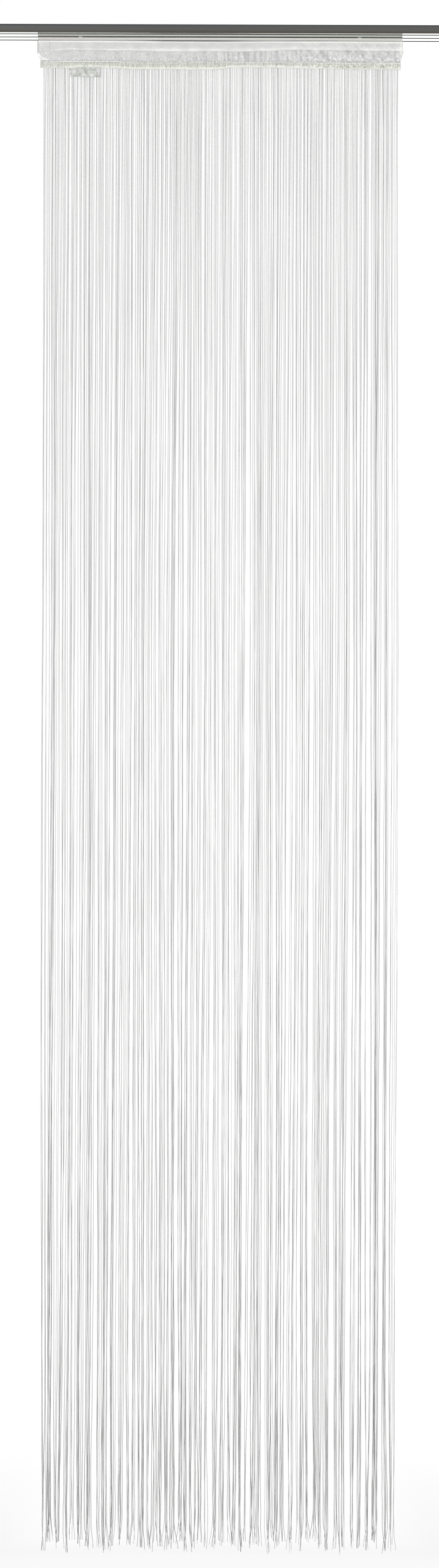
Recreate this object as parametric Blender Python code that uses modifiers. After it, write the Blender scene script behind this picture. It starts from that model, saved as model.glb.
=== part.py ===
"""String panel curtain hanging from a three-track rail.

Metres, +Z up. The origin is the centre of the rail's top face, +X runs along the rail
and the curtain's face looks along -Y. Run with: blender --background --python part.py
"""

import math
import random

import bmesh
import bpy

# Rail: an extrusion with three tracks, open along the underside
RAIL_LENGTH = 0.900
RAIL_DEPTH = 0.060
RAIL_HEIGHT = 0.0138
RAIL_SKIN = 0.0018
LIP_HEIGHT = 0.0016
TRACK_PITCH = 0.020
TRACK_COUNT = 3
CHAMBER_WIDTH = 0.016
SLOT_WIDTH = 0.005

# Clearances
SEAT_GAP = 0.0003
SLOT_GAP = 0.0004

# Carrier strip, held just under the rail
CARRIER_LENGTH = 0.599
CARRIER_DROP = 0.0011
CARRIER_HEIGHT = 0.0223
RIB_HEIGHT = 0.0046
RIB_DEPTH = 0.0070
SHOULDER_SLOPE = 0.0005
WEB_FRONT = -0.0015
WEB_BACK = 0.0010
BEAD_BACK = 0.0030
BEAD_HEIGHT = 0.0017

# Gliders: a head in the chamber, a stem through the slot and into the carrier's rib
GLIDER_SPREAD = 0.2295
HEAD_LENGTH = 0.022
HEAD_WIDTH = 0.012
HEAD_HEIGHT = 0.0026
STEM_LENGTH = 0.006
STEM_PLUG = 0.0033

# Heading tape: a gathered sheet in front of the carrier's web
TAPE_THICKNESS = 0.001
TAPE_FACE = -0.0024
TAPE_COLUMNS = 72
# place along the tape, how far its upper edge hangs down
TAPE_TOP = (
    (-0.300, 0.0002), (-0.200, 0.0000), (-0.140, 0.0005), (-0.085, 0.0014), (-0.010, 0.0014),
    (0.045, 0.0008), (0.110, 0.0005), (0.200, 0.0005), (0.300, 0.0004),
)
CRUMPLE_LEFT = 0.0003
CRUMPLE_RIGHT = 0.0011
# share of the crumple, wavelength, place of a crossing
CRUMPLE_WAVES = (
    (0.50, 0.031, 0.000),
    (0.30, 0.047, 0.016),
    (0.20, 0.083, 0.053),
)
# height of the row, left edge, right edge, share of the crumple, share of the upper edge's droop
TAPE_ROWS = (
    (-0.0199, -0.3000, 0.3000, 0.00, 1.00),
    (-0.0300, -0.3000, 0.3002, 0.00, 0.50),
    (-0.0376, -0.3000, 0.3012, 0.00, 0.15),
    (-0.0430, -0.2998, 0.2990, 0.80, 0.00),
    (-0.0492, -0.2962, 0.2976, 1.00, 0.00),
    (-0.0532, -0.2945, 0.2962, 0.00, 0.00),
    (-0.0590, -0.2940, 0.2958, 0.00, 0.00),
)

# Woven header band that carries the strings
BAND_TOP = -0.0530
BAND_BOTTOM = -0.0655
BAND_LEFT = -0.2949
BAND_RIGHT = 0.2965
BAND_THICKNESS = 0.002
BAND_FACE = -0.0046
BAND_COLUMNS = 48
# place along the band, how far its lower edge hangs below BAND_BOTTOM
BAND_EDGE = (
    (-0.295, 0.0003), (-0.245, 0.0008), (-0.228, -0.0010), (-0.200, -0.0010), (-0.180, 0.0002),
    (-0.120, 0.0010), (-0.060, 0.0012), (-0.020, 0.0020), (0.005, 0.0014), (0.020, -0.0018),
    (0.080, -0.0020), (0.110, -0.0010), (0.180, -0.0006), (0.215, 0.0013), (0.295, 0.0014),
)

# Care label, sewn to the band's lower edge and hanging in front of the strings
LABEL_LEFT = -0.2480
LABEL_RIGHT = -0.1967
LABEL_TOP = -0.0642
LABEL_BOTTOM = -0.0807
LABEL_THICKNESS = 0.001
LABEL_FACE = -0.0064
LABEL_COLUMNS = 10
LABEL_ROWS = 3
LABEL_CURL = 0.0006
LABEL_CURL_TURNS = 1.25
LABEL_LIFT = 0.0012

# Strings
STRAND_COUNT = 288
STRAND_RADIUS = 0.00065
STRAND_SIDES = 3
ROOT_OVERLAP = 0.0015
ROOT_CENTRE = 0.0015
ROOT_HALF_WIDTH = 0.2908
ROOT_JITTER = 0.0005
TIP_SPREAD = 1.005
ROW_COUNT = 3
ROW_SPACING = 0.0016
SAME_ROW_GAP = 0.0016
APART_PASSES = 60
TIP_HEIGHT = -2.489
LOCK_TIP_SPREAD = 0.011
TIP_JITTER = 0.006
WISP_SIZES = (1, 2, 2, 3, 3)
WISP_PITCH = 0.0002
WISP_WANDER = 0.0005
LOCK_SIZES = (1, 2, 3, 4, 5, 6)
LOCK_PITCH = 0.0004
LOCK_WANDER = 0.0010
SEED = 7
# share of the drop, pull to the wisp, pull to the lock, straying to the side, share of the row's depth
LEVELS = (
    (0.000, 0.25, 0.00, 0.0000, 0.10),
    (0.050, 0.45, 0.00, 0.0001, 1.00),
    (0.320, 0.80, 0.20, 0.0004, 1.00),
    (0.870, 0.35, 0.65, 0.0007, 1.00),
    (0.975, 0.00, 1.00, 0.0030, 1.00),
    (1.000, 0.00, 0.50, 0.0030, 1.15),
)

# Points of a curve's mesh that are closer than this are one point
WELD_DISTANCE = 0.00001


def remove_everything():
    for scene_object in list(bpy.data.objects):
        bpy.data.objects.remove(scene_object, do_unlink=True)


def collection(name):
    group = bpy.data.collections.new(name)
    bpy.context.scene.collection.children.link(group)
    return group


def material(name, colour, roughness, metallic=0.0):
    finish = bpy.data.materials.new(name)
    finish.use_nodes = True
    shader = finish.node_tree.nodes["Principled BSDF"]
    shader.inputs["Base Color"].default_value = (*colour, 1.0)
    shader.inputs["Roughness"].default_value = roughness
    shader.inputs["Metallic"].default_value = metallic
    return finish


def place(group, name, data, finish=None):
    scene_object = bpy.data.objects.new(name, data)
    group.objects.link(scene_object)
    if finish:
        data.materials.append(finish)
    return scene_object


def mark_as_guide(scene_object):
    scene_object.hide_render = True
    scene_object.display_type = "WIRE"


def mesh_from_curve(curve_object):
    """A closed mesh of a curve object, which takes its name and place."""
    bpy.context.view_layer.update()
    evaluated = curve_object.evaluated_get(bpy.context.evaluated_depsgraph_get())
    mesh = bpy.data.meshes.new_from_object(evaluated)
    welded = bmesh.new()
    welded.from_mesh(mesh)
    bmesh.ops.remove_doubles(welded, verts=welded.verts, dist=WELD_DISTANCE)
    bmesh.ops.recalc_face_normals(welded, faces=welded.faces)
    welded.to_mesh(mesh)
    welded.free()
    name = curve_object.name
    group = curve_object.users_collection[0]
    world = curve_object.matrix_world.copy()
    bpy.data.objects.remove(curve_object, do_unlink=True)
    mesh_object = place(group, name, mesh)
    mesh_object.matrix_world = world
    return mesh_object


def extruded(group, name, outline, length, finish):
    """A closed outline in the YZ plane, run along X."""
    curve = bpy.data.curves.new(name, "CURVE")
    curve.dimensions = "2D"
    curve.fill_mode = "BOTH"
    curve.extrude = length / 2
    spline = curve.splines.new("POLY")
    spline.points.add(len(outline) - 1)
    for point, (y, z) in zip(spline.points, outline):
        point.co = (y, z, 0.0, 1.0)
    spline.use_cyclic_u = True
    curve_object = place(group, name, curve)
    curve_object.rotation_euler = (math.pi / 2, 0.0, math.pi / 2)
    mesh_object = mesh_from_curve(curve_object)
    mesh_object.data.materials.append(finish)
    return mesh_object


def block(group, name, low, high, finish=None):
    """A box between two corners."""
    shape = bmesh.new()
    bmesh.ops.create_cube(shape, size=1.0)
    for vertex in shape.verts:
        vertex.co = [a + (side + 0.5) * (b - a) for side, a, b in zip(vertex.co, low, high)]
    mesh = bpy.data.meshes.new(name)
    shape.to_mesh(mesh)
    shape.free()
    return place(group, name, mesh, finish)


def boolean(target, tool, operation):
    modifier = target.modifiers.new(tool.name, "BOOLEAN")
    modifier.operation = operation
    modifier.solver = "EXACT"
    modifier.object = tool
    mark_as_guide(tool)


def sheet(group, name, columns, rows, thickness, surface, finish):
    """A grid moved onto surface(across 0..1, row), then given its thickness."""
    grid = bmesh.new()
    bmesh.ops.create_grid(grid, x_segments=columns, y_segments=rows, size=0.5)
    for vertex in grid.verts:
        vertex.co = surface(vertex.co.x + 0.5, round((0.5 - vertex.co.y) * rows))
    bmesh.ops.recalc_face_normals(grid, faces=grid.faces)
    mesh = bpy.data.meshes.new(name)
    grid.to_mesh(mesh)
    grid.free()
    cloth = place(group, name, mesh, finish)
    solidify = cloth.modifiers.new("thickness", "SOLIDIFY")
    solidify.thickness = thickness
    solidify.offset = 0.0
    return cloth


def between(low, high, share):
    return low + (high - low) * share


# Rail, carrier and gliders

def rail_outline():
    """The extrusion's section: a flat top, and three chambers that open down through slots."""
    bottom = -RAIL_HEIGHT
    shelf = bottom + LIP_HEIGHT
    points = [(-RAIL_DEPTH / 2, 0.0), (-RAIL_DEPTH / 2, bottom)]
    for track in range(TRACK_COUNT):
        middle = (track - (TRACK_COUNT - 1) / 2) * TRACK_PITCH
        points += [
            (middle - SLOT_WIDTH / 2, bottom),
            (middle - SLOT_WIDTH / 2, shelf),
            (middle - CHAMBER_WIDTH / 2, shelf),
            (middle - CHAMBER_WIDTH / 2, -RAIL_SKIN),
            (middle + CHAMBER_WIDTH / 2, -RAIL_SKIN),
            (middle + CHAMBER_WIDTH / 2, shelf),
            (middle + SLOT_WIDTH / 2, shelf),
            (middle + SLOT_WIDTH / 2, bottom),
        ]
    return points + [(RAIL_DEPTH / 2, bottom), (RAIL_DEPTH / 2, 0.0)]


def carrier_outline():
    """The strip's section: a solid rib above, a thin web with a flat front, and a bead below."""
    top = -RAIL_HEIGHT - CARRIER_DROP
    rib_bottom = top - RIB_HEIGHT
    bottom = top - CARRIER_HEIGHT
    bead_top = bottom + BEAD_HEIGHT
    shoulder = rib_bottom + SHOULDER_SLOPE
    return [
        (-RIB_DEPTH / 2, top),
        (-RIB_DEPTH / 2, shoulder),
        (WEB_FRONT, rib_bottom),
        (WEB_FRONT, bottom),
        (BEAD_BACK, bottom),
        (BEAD_BACK, bead_top),
        (WEB_BACK, bead_top),
        (WEB_BACK, rib_bottom),
        (RIB_DEPTH / 2, shoulder),
        (RIB_DEPTH / 2, top),
    ]


def build_glider(parts, cutters, carrier, name, middle, plastic):
    """A glider, and the socket that its stem fills in the carrier's rib."""
    shelf = -RAIL_HEIGHT + LIP_HEIGHT + SEAT_GAP
    half_stem = SLOT_WIDTH / 2 - SLOT_GAP
    stem_bottom = -RAIL_HEIGHT - CARRIER_DROP - STEM_PLUG
    head = block(
        parts, name,
        (middle - HEAD_LENGTH / 2, -HEAD_WIDTH / 2, shelf),
        (middle + HEAD_LENGTH / 2, HEAD_WIDTH / 2, shelf + HEAD_HEIGHT),
        plastic,
    )
    stem = block(
        cutters, name + "_stem",
        (middle - STEM_LENGTH / 2, -half_stem, stem_bottom),
        (middle + STEM_LENGTH / 2, half_stem, shelf + HEAD_HEIGHT / 2),
    )
    boolean(head, stem, "UNION")
    socket = block(
        cutters, name + "_socket",
        (middle - STEM_LENGTH / 2 - SEAT_GAP, -half_stem - SEAT_GAP, stem_bottom - SEAT_GAP),
        (middle + STEM_LENGTH / 2 + SEAT_GAP, half_stem + SEAT_GAP, -RAIL_HEIGHT),
    )
    boolean(carrier, socket, "DIFFERENCE")


# Heading tape, band and label

def along(places, x):
    """A value that runs smoothly from each place in a list to the next."""
    for (left, low), (right, high) in zip(places, places[1:]):
        if x < right:
            share = max((x - left) / (right - left), 0.0)
            return between(low, high, share * share * (3 - 2 * share))
    return places[-1][1]


def wave(x, length, crossing):
    return math.sin(2 * math.pi * (x - crossing) / length)


def crumple(x):
    """Depth of the tape's folds, from -1 to 1, at a place along the tape."""
    return sum(share * wave(x, length, crossing) for share, length, crossing in CRUMPLE_WAVES)


def tape_surface(across, row):
    height, left, right, crumple_share, droop_share = TAPE_ROWS[row]
    x = between(left, right, across)
    depth = between(CRUMPLE_LEFT, CRUMPLE_RIGHT, across) * crumple(x)
    return x, TAPE_FACE - crumple_share * depth, height - droop_share * along(TAPE_TOP, x)


def band_surface(across, row):
    x = between(BAND_LEFT, BAND_RIGHT, across)
    height = BAND_TOP if row == 0 else BAND_BOTTOM - along(BAND_EDGE, x)
    return x, BAND_FACE, height


def label_surface(across, row):
    """Held flat along the top, with free corners that curl forward and lift at the left."""
    x = between(LABEL_LEFT, LABEL_RIGHT, across)
    down = row / LABEL_ROWS
    curl = LABEL_CURL * down * abs(math.sin(2 * math.pi * LABEL_CURL_TURNS * across))
    bottom = LABEL_BOTTOM + LABEL_LIFT * (1 - across) ** 3
    return x, LABEL_FACE - curl, between(LABEL_TOP, bottom, down)


# Strings

def gathered(places, sizes, pitch, wander, chance):
    """Where each strand goes when neighbours draw together in groups."""
    drawn = []
    groups = []
    while len(drawn) < len(places):
        size = min(chance.choice(sizes), len(places) - len(drawn))
        members = places[len(drawn):len(drawn) + size]
        middle = sum(members) / size + chance.uniform(-wander, wander)
        drawn += [middle + (i - (size - 1) / 2) * pitch for i in range(size)]
        groups += [len(groups)] * size
    return drawn, groups


def keep_apart(places, gap):
    """Neighbours in one row pushed away from each other until each pair is a gap apart."""
    for _ in range(APART_PASSES):
        for i in range(len(places) - 1):
            lack = gap - (places[i + 1] - places[i])
            if lack > 0:
                places[i] -= lack / 2
                places[i + 1] += lack / 2
    for i in range(len(places) - 1):
        places[i + 1] = max(places[i + 1], places[i] + gap)
    return places


def strand_rows(chance):
    """The row, front to back, of each strand: every three neighbours hang in three rows."""
    rows = []
    while len(rows) < STRAND_COUNT:
        trio = list(range(ROW_COUNT))
        chance.shuffle(trio)
        rows += trio
    return rows[:STRAND_COUNT]


def strand_routes():
    """For each strand, its points from the root to the tip."""
    chance = random.Random(SEED)
    pitch = 2 * ROOT_HALF_WIDTH / (STRAND_COUNT - 1)
    roots = [i * pitch - ROOT_HALF_WIDTH + chance.uniform(-ROOT_JITTER, ROOT_JITTER)
             for i in range(STRAND_COUNT)]
    rows = strand_rows(chance)
    wisps, _ = gathered(roots, WISP_SIZES, WISP_PITCH, WISP_WANDER, chance)
    locks, lock_of = gathered([x * TIP_SPREAD for x in roots], LOCK_SIZES, LOCK_PITCH, LOCK_WANDER, chance)
    lock_tips = [TIP_HEIGHT + chance.uniform(-LOCK_TIP_SPREAD, LOCK_TIP_SPREAD)
                 for _ in range(max(lock_of) + 1)]
    tips = [lock_tips[lock] + chance.uniform(-TIP_JITTER, TIP_JITTER) for lock in lock_of]
    routes = [[] for _ in range(STRAND_COUNT)]
    for drop, to_wisp, to_lock, stray, depth in LEVELS:
        places = [
            root * (1 - to_wisp - to_lock) + wisp * to_wisp + lock * to_lock + chance.uniform(-stray, stray)
            for root, wisp, lock in zip(roots, wisps, locks)
        ]
        for row in range(ROW_COUNT):
            members = [i for i in range(STRAND_COUNT) if rows[i] == row]
            spaced = keep_apart([places[i] for i in members], SAME_ROW_GAP)
            y = BAND_FACE + (row - (ROW_COUNT - 1) / 2) * ROW_SPACING * depth
            for i, x in zip(members, spaced):
                top = BAND_BOTTOM - along(BAND_EDGE, ROOT_CENTRE + roots[i]) + ROOT_OVERLAP
                routes[i].append((ROOT_CENTRE + x, y, between(top, tips[i], drop)))
    return routes


def build_strands(cutters):
    """All strands as one mesh of separate three-sided tubes."""
    section = bpy.data.curves.new("strand_section", "CURVE")
    ring = section.splines.new("POLY")
    ring.points.add(STRAND_SIDES - 1)
    for side, point in enumerate(ring.points):
        angle = 2 * math.pi * side / STRAND_SIDES
        point.co = (STRAND_RADIUS * math.cos(angle), STRAND_RADIUS * math.sin(angle), 0.0, 1.0)
    ring.use_cyclic_u = True
    section_object = place(cutters, "strand_section", section)
    mark_as_guide(section_object)

    curve = bpy.data.curves.new("strands", "CURVE")
    curve.dimensions = "3D"
    curve.bevel_mode = "OBJECT"
    curve.bevel_object = section_object
    curve.use_fill_caps = True
    for route in strand_routes():
        spline = curve.splines.new("POLY")
        spline.points.add(len(route) - 1)
        for point, place_on_route in zip(spline.points, route):
            point.co = (*place_on_route, 1.0)
    return mesh_from_curve(place(cutters, "strands", curve))


def build():
    remove_everything()
    parts = collection("string_panel_curtain")
    cutters = collection("cutters")
    anodised = material("anodised_aluminium", (0.36, 0.36, 0.37), 0.32, 1.0)
    satin = material("satin_aluminium", (0.80, 0.80, 0.81), 0.35, 1.0)
    plastic = material("glider_plastic", (0.86, 0.86, 0.84), 0.40)
    sheer = material("sheer_white_tape", (0.86, 0.86, 0.86), 0.55)
    yarn = material("white_yarn", (0.83, 0.83, 0.80), 0.75)
    ribbon = material("label_ribbon", (0.78, 0.78, 0.76), 0.60)

    extruded(parts, "rail", rail_outline(), RAIL_LENGTH, anodised)
    carrier = extruded(parts, "carrier", carrier_outline(), CARRIER_LENGTH, satin)
    build_glider(parts, cutters, carrier, "glider_left", -GLIDER_SPREAD, plastic)
    build_glider(parts, cutters, carrier, "glider_right", GLIDER_SPREAD, plastic)

    sheet(parts, "heading_tape", TAPE_COLUMNS, len(TAPE_ROWS) - 1, TAPE_THICKNESS, tape_surface, sheer)
    sheet(parts, "care_label", LABEL_COLUMNS, LABEL_ROWS, LABEL_THICKNESS, label_surface, ribbon)
    band = sheet(parts, "string_fringe", BAND_COLUMNS, 1, BAND_THICKNESS, band_surface, yarn)
    boolean(band, build_strands(cutters), "UNION")


build()
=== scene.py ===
"""String panel curtain on its three-track rail: cloth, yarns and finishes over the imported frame.

Metres, +Z up, in the part's own frame: +X runs along the rail and the curtain's face looks
along -Y.
"""

import math
import random

import bpy
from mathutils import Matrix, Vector, noise


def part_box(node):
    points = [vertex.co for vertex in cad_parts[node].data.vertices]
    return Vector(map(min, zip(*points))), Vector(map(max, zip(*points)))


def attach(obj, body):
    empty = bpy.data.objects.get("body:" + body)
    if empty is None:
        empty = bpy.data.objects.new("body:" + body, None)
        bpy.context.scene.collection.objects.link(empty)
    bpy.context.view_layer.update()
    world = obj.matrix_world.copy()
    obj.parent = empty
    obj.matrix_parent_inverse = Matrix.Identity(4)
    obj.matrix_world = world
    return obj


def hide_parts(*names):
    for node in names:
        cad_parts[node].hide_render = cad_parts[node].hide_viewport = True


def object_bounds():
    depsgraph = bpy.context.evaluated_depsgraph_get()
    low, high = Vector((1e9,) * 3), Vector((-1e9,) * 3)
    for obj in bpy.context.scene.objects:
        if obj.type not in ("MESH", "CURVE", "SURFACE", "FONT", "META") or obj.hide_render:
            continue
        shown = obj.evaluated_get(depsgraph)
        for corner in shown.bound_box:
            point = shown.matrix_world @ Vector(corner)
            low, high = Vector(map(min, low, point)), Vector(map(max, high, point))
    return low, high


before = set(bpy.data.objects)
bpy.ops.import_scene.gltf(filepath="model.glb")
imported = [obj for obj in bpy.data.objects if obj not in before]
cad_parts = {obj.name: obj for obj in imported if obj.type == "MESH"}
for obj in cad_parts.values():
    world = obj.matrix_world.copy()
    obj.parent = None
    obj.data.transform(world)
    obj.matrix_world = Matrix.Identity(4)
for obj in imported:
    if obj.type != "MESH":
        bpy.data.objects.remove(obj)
cad_low, cad_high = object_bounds()

# Studio
CAMERA_PLACE = (0.003, -4.8, -1.2406)
CAMERA_ROLL = math.radians(-0.19)
CAMERA_LENS = 67.05
FLOOR_GAP = 0.055
FLOOR_SIZE = 60.0
SKY_TO_EYE = 1.0
SKY_TO_GLOSS = 1.6
SKY_TO_CLOTH = 0.84
# name, direction that it comes from, strength, softness in degrees
SUNS = (
    ("key_light", (-0.92, -0.45, 0.03), 1.35, 12.0),
    ("fill_light", (0.55, -0.90, -0.12), 0.75, 40.0),
)
# distance from the point below the curtain, the floor's own light there; its dip around a quarter
# metre out is painted shade on the floor
FLOOR_GLOW = (
    (0.00, 0.743), (0.19, 0.742), (0.25, 0.712), (0.34, 0.722), (0.43, 0.732), (0.61, 0.750),
    (0.80, 0.769), (0.90, 0.782), (1.12, 0.796),
)
# the same distance, the light that the floor's part straight behind the strings has besides
STRINGS_GLOW = (
    (0.00, 0.000), (0.22, 0.000), (0.30, 0.045), (0.50, 0.045), (0.80, 0.020), (1.12, 0.000),
)
# distance aside where the light behind the strings starts to fade, and where it ends
STRINGS_FADE = (0.29, 0.38)
# how much of the way along x, y and z counts as distance
FLOOR_STRETCH = (0.35, 1.0, 1.0)
FLOOR_GREY = (0.25, 0.25, 0.25, 1.0)
WHITE = (1.0, 1.0, 1.0, 1.0)

# Colours: where there are two, from dark to light
# the face's dark metal is painted shade: the dark room that it reflects
FACE_PAINTED_SHADE_METAL = ((0.062, 0.064, 0.061), (0.074, 0.074, 0.071))
LEFT_END_METAL = (0.095, 0.095, 0.092)
RAIL_TOP_EDGE = (0.040, 0.042, 0.049)
RAIL_BOTTOM_EDGE = (0.052, 0.042, 0.031)
# painted light in the front track's shaded hollow
TRACK_PAINTED_LIGHT_GREY = (0.20, 0.20, 0.195)
# the underside's bright metal is a painted reflection of the white floor
UNDERSIDE_PAINTED_REFLECTION_METAL = ((0.53, 0.56, 0.53), (0.57, 0.60, 0.57))
ROSY_METAL = ((0.61, 0.585, 0.575), (0.69, 0.66, 0.645))
GREENISH_METAL = ((0.57, 0.575, 0.535), (0.65, 0.65, 0.605))
# painted shade on the carrier's top, under the rail
CARRIER_TOP_PAINTED_SHADE = (0.40, 0.40, 0.40)
# painted shade for the gap above the tape's edge, shown as a hook strip
HOOK_STRIP_PAINTED_SHADE = ((0.29, 0.28, 0.28), (0.66, 0.64, 0.64))
GLIDER_WHITE = ((0.80, 0.80, 0.77), (0.88, 0.88, 0.86))
TAPE_WHITE = ((0.43, 0.43, 0.435), (0.93, 0.93, 0.915))
# painted shadow along the tape's left edge
TAPE_EDGE_PAINTED_SHADOW = (0.20, 0.20, 0.19)
BAND_FULL_WHITE = ((0.40, 0.41, 0.365), (0.88, 0.88, 0.805))
BAND_SHEER_WHITE = ((0.46, 0.46, 0.455), (0.84, 0.84, 0.82))
SELVEDGE_WHITE = ((0.66, 0.66, 0.63), (0.90, 0.90, 0.87))
STITCH_WHITE = ((0.88, 0.88, 0.84), (0.95, 0.95, 0.93))
LABEL_WHITE = ((0.40, 0.41, 0.39), (0.82, 0.83, 0.80))
YARN_WHITE = ((0.36, 0.36, 0.36), (0.69, 0.69, 0.688))

# Rail and carrier, read from the frame
rail_low, rail_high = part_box("rail")
carrier_low, carrier_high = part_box("carrier")
# below the rail's top: where its dark upper edge begins, and where it is full
RAIL_TOP_FADE = (0.0040, 0.0006)
# above the rail's underside: where its dark lower edge ends
RAIL_BOTTOM_FADE = 0.0052
# from the rail's left end: where its lighter colour fades out
RAIL_LIGHTER_LENGTH = 0.35
# behind the rail's face: where the front track's hollow begins and ends
TRACK_HOLLOW = (0.0015, 0.0185)
RAIL_WALL = 0.0015
# the polish and the painted reflection lie on what faces down at least this much, within this
# height of the underside
FACING_DOWN = -0.7
POLISH_AND_REFLECTION_HEIGHT = 0.0004
# along the carrier: where its rosy cast begins to fade, and where its green one is full
CARRIER_CASTS = (-0.25, 0.25)
# height of the carrier's top that is painted darker, as shade under the rail
CARRIER_SHADED_TOP_HEIGHT = 0.0003
RIB_HEIGHT = 0.0046
# the hook strip: painted dark for the shaded gap above the tape
STRIP_HEIGHT = 0.0022
STRIP_ON_RIB = 0.0004
# place along the rail, share of painted light in the front track's hollow, which lies in shade
TRACK_PAINTED_LIGHT = (
    (-0.450, 1.00), (-0.150, 0.80), (0.010, 0.80), (0.150, 0.30), (0.250, 0.00), (0.450, 0.00),
)
# place along the rail, how far the hook strip's painted shade is lifted towards its lighter grey
HOOK_STRIP_SHADE_LIFT = (
    (-0.300, 0.70), (-0.240, 0.95), (-0.160, 0.95), (-0.130, 0.70), (-0.093, 0.00), (-0.012, 0.00),
    (0.020, 0.20), (0.045, 0.60), (0.085, 1.00), (0.125, 0.70), (0.167, 0.40), (0.210, 0.65),
    (0.300, 0.90),
)

# Heading tape
tape_low, tape_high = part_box("heading_tape")
TAPE_COLUMNS = 620
TAPE_DOWN = 48
TAPE_THICKNESS = 0.0004
TAPE_FACE = -0.0023
# width and length that the weave is laid over, pitch of its threads
TAPE_WEAVE = (0.600, 0.040, 0.0007)
# place along the rail, how far the tape's upper edge hangs below the carrier's rib
TAPE_TOP = (
    (-0.300, 0.0002), (-0.200, 0.0000), (-0.140, 0.0005), (-0.085, 0.0011), (-0.010, 0.0012),
    (0.045, 0.0009), (0.110, 0.0005), (0.146, 0.0001), (0.200, -0.0001), (0.230, 0.0000),
    (0.300, 0.0002),
)
# share of the tape's height over which that fades out
TAPE_TOP_REACH = 0.45
# how far back the tape's folds can lie, in front of the carrier and below it
CARRIER_STOP = -0.0003
FOLD_STOP = -0.0016
HEM_HEIGHT = 0.0026
HEM_RISE = 0.00025
# below and above the top hem's lower edge: where it starts and is full
HEM_FADE = (0.0009, 0.0004)
# painted highlight along the top hem
HEM_TONE = 0.56
LEFT_HEM = 0.019
# what the left hem adds by itself and with the mottle
LEFT_HEM_TONE = (0.04, 0.16)
RIGHT_HEM = 0.0046
RIGHT_HEM_TONE = 0.25
SIDE_HEM_FADE = 0.0006
# the dark line beside the left hem
HEM_LINE_SHADE = 0.16
HEM_LINE_OFFSET = 0.0007
HEM_LINE_REACH = 0.0008
RIDGE_RISE = 0.00045
# painted highlight along the ridge
RIDGE_PAINTED_HIGHLIGHT = 0.27
RIDGE_REACH = 0.0013
RIDGE_REACH_BELOW = 0.0009
# along the tape: where the ridge starts to widen upwards, and where it is widest
RIDGE_WIDENS = (-0.200, -0.120)
RIDGE_WIDEST = 3
# from the tape's left edge, as a share of its width: where the ridge's painted highlight and shadow
# start and are full
RIDGE_START = (0.03, 0.08)
# the dark line under the ridge: how far below it, its half width, its depth of tone
RIDGE_SHADOW = (0.0020, 0.0008, 0.12)
# place along the rail, height of the ridge that the carrier's lower edge presses up, bright with a
# painted highlight
TAPE_RIDGE = (
    (-0.300, -0.0356), (-0.276, -0.0355), (-0.250, -0.0338), (-0.190, -0.0343), (-0.170, -0.0350),
    (-0.150, -0.0345), (-0.130, -0.0354), (-0.075, -0.0360), (0.000, -0.0354), (0.026, -0.0359),
    (0.085, -0.0345), (0.106, -0.0329), (0.167, -0.0332), (0.240, -0.0339), (0.300, -0.0345),
)
# heights where the pleats begin, and where they stand full
FREE_TOP = -0.0372
FREE_FULL = -0.0415
# distance below the ridge where the cloth starts to come free, and where it is free
FREE_BELOW_RIDGE = (0.0006, 0.0022)
# the seam holds this share of the folds back, from its top down over its fade
SEAM_TOP = -0.0520
SEAM_FADE = 0.004
SEAM_HOLD = 0.85
# share of the gathers at the left, before they begin to fill out
GATHERS_LEFT = 0.20
# along the tape: where the gathers and the crumpled part begin, and where they are full
GATHERS_START = (-0.100, 0.030)
CRUMPLES_START = (0.090, 0.160)
GLINT_HEIGHT = -0.0500
GLINT_REACH = 0.0046
GLINT_RARITY = 0.23
SEAM_HEIGHT = -0.0530
# how far the specks reach above the seam and below it
SEAM_REACH_UP = 0.0045
SEAM_REACH_DOWN = 0.0038
SEAM_SPECKLE = 0.48
# painted shade: the short creases above the seam are only dark lines
SEAM_CREASE_SHADE = 0.55
SEAM_CREASE_REACH = 0.0105
SEAM_CREASE_START = (-0.255, -0.190)
# the corner at the left, which is turned over: places along and heights
TURNED_CORNER = ((-0.2985, -0.0405), (-0.2970, -0.0430), (-0.2923, -0.0496), (-0.2811, -0.0531))
TURN_HALF_WIDTH = 0.0012
TURN_RISE = 0.0008
# painted highlight along the turned corner's fold
TURN_PAINTED_HIGHLIGHT = 0.70
# from the tape's left edge: the painted shadow along the cloth's edge above the turned corner
EDGE_SHADOW_FADE = (0.0004, 0.0016)
EDGE_SHADOW_ABOVE_TURN = 0.0010
PLEAT_LEFT = 0.00035
PLEAT_RIGHT = 0.00130
# sideways run for each metre down: the pleats' mean and spread, the slanting folds' least and
# most, and the crossing folds'
LEAN = 0.10
LEAN_SPREAD = 0.35
SLANTS = (0.5, 1.3)
CROSSING_SLANT = 0.9
CREASE_WIDTH = 0.20
GATHER_DEPTH = 0.00030
FOLD_DEPTH = 0.0006
SMUDGE_DEPTH = 0.00010
MOTTLE_DEPTHS = (0.00004, 0.00012)
# the tape's tone: its mean, how much darker it hangs free, then each kind of fold's share; the fold
# and gather shares are painted shading, dark in valleys and creases, light on crests
TAPE_TONE = 0.57
FREE_SHADE = 0.12
SMUDGE_TONE = 0.10
MOTTLE_TONES = (0.08, 0.20)
HELD_FOLD_PAINTED_SHADING = 0.18
FREE_FOLD_PAINTED_SHADING = 0.30
GATHER_PAINTED_SHADING = 0.32
GLINT_TONE = 0.75
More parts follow.
